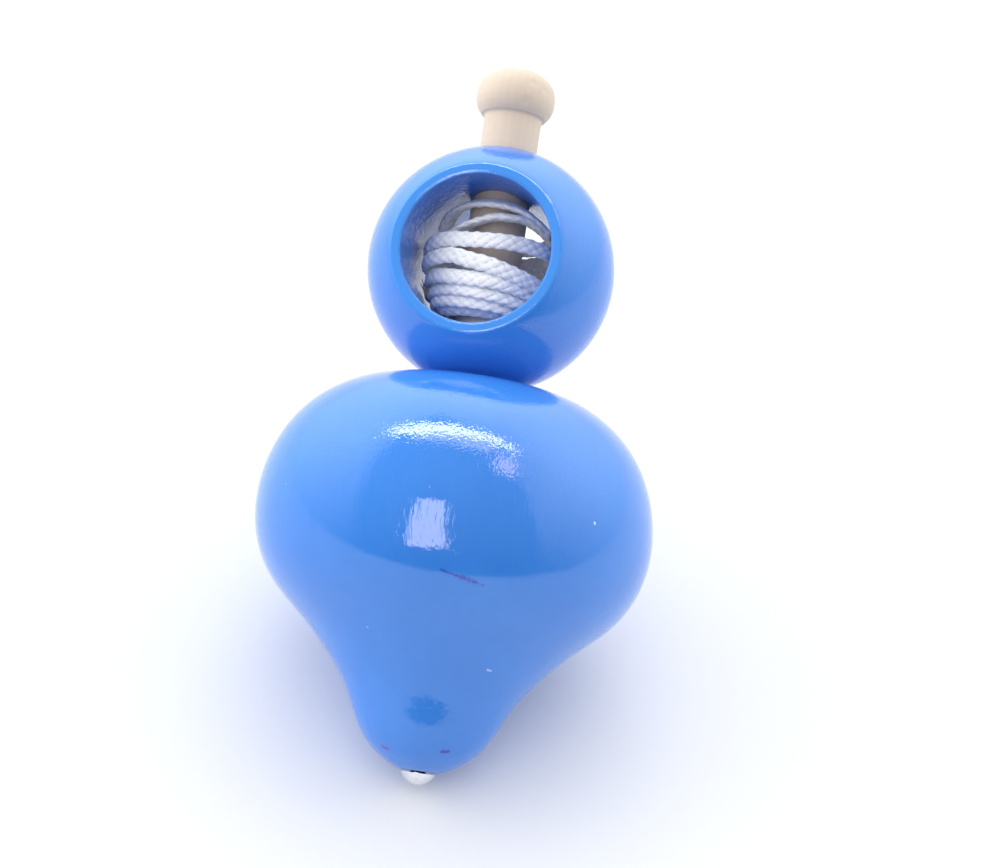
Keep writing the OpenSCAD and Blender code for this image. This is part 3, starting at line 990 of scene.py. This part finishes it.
table = disc("table", 0.60, 12, 96)
m, n = material("table_pale")
geo = n.add("ShaderNodeNewGeometry")
place = n.vec("SUBTRACT", geo.outputs["Position"], tuple(on_table(0, 0)))
fade = n.span(n.vec("LENGTH", place), 0.26, 0.52)
speck = n.noise(place, 900, 3, 0.6)
white = n.mix(speck, (0.785, 0.79, 0.815), (0.805, 0.805, 0.83))
matt = n.add("ShaderNodeBsdfDiffuse", {"Color": white})
clear = n.add("ShaderNodeBsdfTransparent")
hide = n.math("MAXIMUM", fade, geo.outputs["Backfacing"])
n.out(n.add("ShaderNodeMixShader", {0: hide, 1: matt.outputs[0], 2: clear.outputs[0]}).outputs[0])
table.data.materials.append(m)


def panel(name, corners, colour, strength):
    """A glowing card whose corners are given as directions (x, y, n) in the table's axes, 1.1 m up."""
    at = on_table(0, 0, 0.03)
    verts = [tuple(at + (TX * x + TY * y + TN * h) * 1.1) for x, y, h in corners]
    o = new_object(name, verts, [tuple(range(len(verts)))], smooth=False)
    mm, k = material(name)
    e = k.add("ShaderNodeEmission", {"Color": (*colour, 1), "Strength": strength})
    k.out(e.outputs[0])
    o.data.materials.append(mm)
    o.visible_camera = False
    o.visible_shadow = False
    o.visible_diffuse = False
    return o


STRIP = [(-0.76, 0.36), (-0.42, 0.325), (0.0, 0.31), (0.30, 0.275), (0.47, 0.26), (0.52, 0.285), (0.36, 0.36), (0.0, 0.47), (-0.40, 0.53), (-0.77, 0.545)]
EDGE = [(-0.52, 0.33), (0.0, 0.31), (0.26, 0.28), (0.26, 0.13), (0.0, 0.16), (-0.50, 0.22)]
panel("strip_light", [(a, b, 1) for a, b in STRIP], (1.0, 1.0, 0.95), 14.0)
panel("strip_edge", [(a, b, 1) for a, b in EDGE], (0.95, 0.86, 1.0), 4.2)
panel("side_glow", [(0.29, -0.03, 1), (0.50, -0.12, 1), (0.50, 0.10, 1), (0.31, 0.15, 1)], (1.0, 0.74, 0.94), 6.2)
panel("far_window", [(-0.69, -1, 1.46), (-0.24, -1, 1.54), (-0.05, -1, 0.31), (-0.45, -1, 0.25)], (0.98, 0.88, 1.0), 6.6)

world = bpy.data.worlds.new("studio")
bpy.context.scene.world = world
world.use_nodes = True
n = Nodes(world.node_tree)
d = n.add("ShaderNodeTexCoord").outputs["Generated"]
x, y, h = (n.vec("DOT_PRODUCT", d, tuple(v)) for v in (TX, TY, TN))
# the side behind the camera is the darker side of the room
right = n.math("ADD", n.math("ADD", x, n.math("MULTIPLY", y, 1.05)), n.math("MULTIPLY", h, -0.5))
left = n.math("ADD", n.math("ADD", n.math("MULTIPLY", x, -1.0), n.math("MULTIPLY", y, 1.1)), n.math("MULTIPLY", h, -1.1))
dark = n.math("MULTIPLY", n.span(right, -0.05, 0.05, 1.0, 0.0), n.span(left, -0.16, 0.14, 1.0, 0.0))


def lobes(table):
    """Sum of soft lobes of light: (azimuth from away toward the right, elevation, sharpness, strength)."""
    total = None
    for az, up, power, weight in table:
        a, e = math.radians(az), math.radians(up)
        to = TX * (math.sin(a) * math.cos(e)) + TY * (math.cos(a) * math.cos(e)) + TN * math.sin(e)
        c = n.math("POWER", n.math("MAXIMUM", n.vec("DOT_PRODUCT", d, tuple(to)), 0.0), power)
        c = n.math("MULTIPLY", c, weight)
        total = c if total is None else n.math("ADD", total, c)
    return total


LIT_BY = [
    (0, 14, 8, 1.20), (45, 14, 8, 1.43), (90, 14, 8, 2.45), (135, 14, 8, 0.70), (180, 14, 8, 0.0),
    (225, 14, 8, 1.25), (270, 14, 8, 3.60), (315, 14, 8, 1.80), (0, 48, 8, 1.40), (45, 48, 8, 0.55),
    (180, 72, 12, 1.20), (225, 48, 8, 0.40), (315, 48, 8, 0.60), (0, 90, 8, 1.05),
    (-17, 61.4, 60, 0.67), (199, 37.6, 60, 0.42),
]  # fmt: skip
MIRRORED = [
    (0, 8, 7, 1.5), (45, 8, 7, 1.4), (90, 8, 7, 1.0), (270, 8, 7, 1.15), (315, 8, 7, 1.8),
    (0, 42, 8, 2.4), (60, 42, 8, 2.1), (120, 42, 8, 1.07), (240, 42, 8, 0.56), (300, 42, 8, 1.92),
    (0, 90, 8, 0.62),
]  # fmt: skip
lit = n.vec("SCALE", (0.93, 0.94, 0.955), scale=lobes(LIT_BY))
bright = n.vec("SCALE", (0.78, 0.87, 0.94), scale=n.math("MULTIPLY", lobes(MIRRORED), n.math("SUBTRACT", 1.0, dark)))
shade = n.vec("SCALE", (0.70, 0.90, 1.15), scale=n.math("MULTIPLY", n.math("MULTIPLY", dark, n.math("MAXIMUM", h, 0.0)), 0.6))
seen = n.vec("ADD", bright, shade)
path = n.add("ShaderNodeLightPath")
soft = n.mix(path.outputs["Is Glossy Ray"], lit, seen)
final = n.mix(path.outputs["Is Camera Ray"], soft, (0.965, 0.975, 1.0))
bg = n.add("ShaderNodeBackground", {"Color": final, "Strength": 1.0})
n.add("ShaderNodeOutputWorld", {"Surface": bg.outputs[0]})

scene = bpy.context.scene
scene.view_settings.view_transform = "Standard"
scene.view_settings.look = "None"
